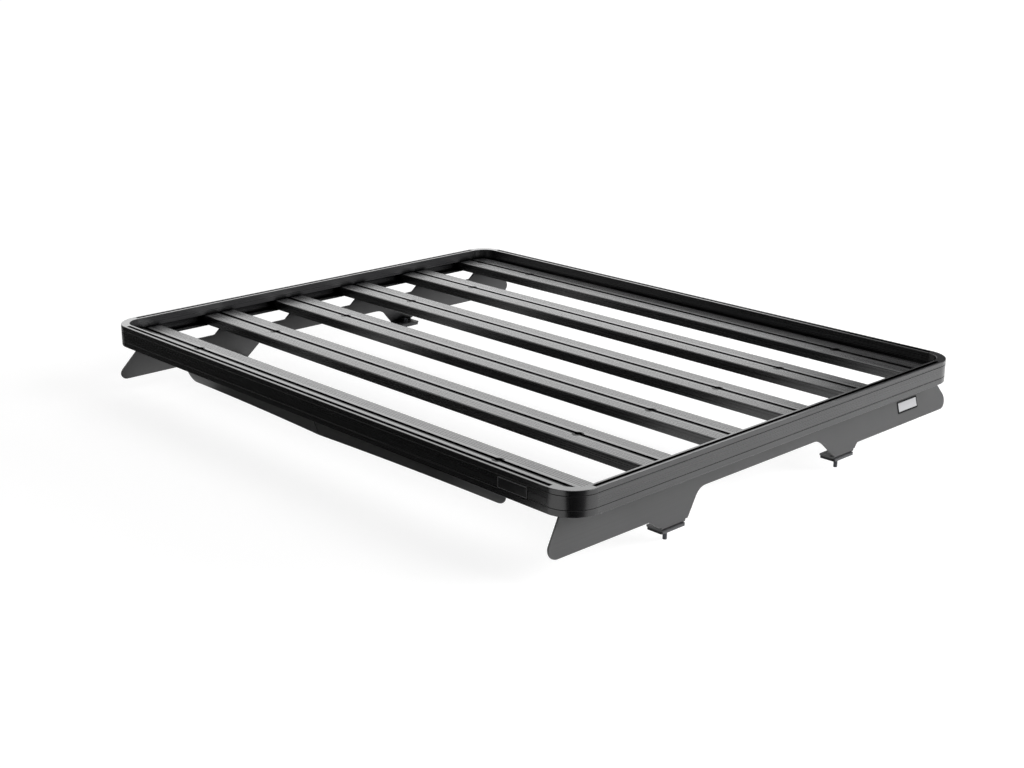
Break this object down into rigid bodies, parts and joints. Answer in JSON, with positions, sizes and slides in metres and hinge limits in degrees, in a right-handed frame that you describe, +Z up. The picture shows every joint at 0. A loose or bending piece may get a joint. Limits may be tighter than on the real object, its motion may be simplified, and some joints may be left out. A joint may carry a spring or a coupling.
{
  "type": "flat platform roof rack",
  "caption": "Low flat roof tray: a rounded rail frame with slotted cross slats, on two foot rails with rubber pads and studs, and a leaning air deflector under the front rail.",
  "frame": {"origin": "bottom centre of the whole rack, at the tips of the front studs", "axes": "+X across the vehicle to the rack's own left-hand side as its front faces -Y, +Z up, front at -Y"},
  "size_m": [1.475, 1.2024, 0.179],
  "materials": {
    "rail_black": "black powder coat, satin",
    "corner_black": "black powder coat on a casting, satin to semi-gloss",
    "slat_black": "black powder coat, fine texture, satin",
    "sheet_black": "black powder coat on folded sheet, satin",
    "deflector_black": "black powder coat on thin sheet, satin",
    "pad_rubber": "matte moulded rubber",
    "fastener_steel": "black zinc plated steel"
  },
  "bodies": {
    "root": {"front_rail": "rail_black", "rear_rail": "rail_black", "left_rail": "rail_black", "right_rail": "rail_black", "corner_front_left": "corner_black", "corner_front_right": "corner_black", "corner_rear_left": "corner_black", "corner_rear_right": "corner_black", "slat_1": "slat_black", "slat_2": "slat_black", "slat_3": "slat_black", "slat_4": "slat_black", "slat_5": "slat_black", "slat_6": "slat_black", "foot_rail_left": "sheet_black", "foot_rail_right": "sheet_black", "foot_pad_front_left": "pad_rubber", "foot_pad_front_right": "pad_rubber", "foot_pad_rear_left": "pad_rubber", "foot_pad_rear_right": "pad_rubber", "foot_stud_front_left": "fastener_steel", "foot_stud_front_right": "fastener_steel", "foot_stud_rear_left": "fastener_steel", "foot_stud_rear_right": "fastener_steel", "deflector_left": "deflector_black", "deflector_right": "deflector_black", "deflector_bolts": "fastener_steel", "slat_bolts_left": "fastener_steel", "slat_bolts_right": "fastener_steel", "tab_bolts_left": "fastener_steel", "tab_bolts_right": "fastener_steel"}
  },
  "joints": []
}
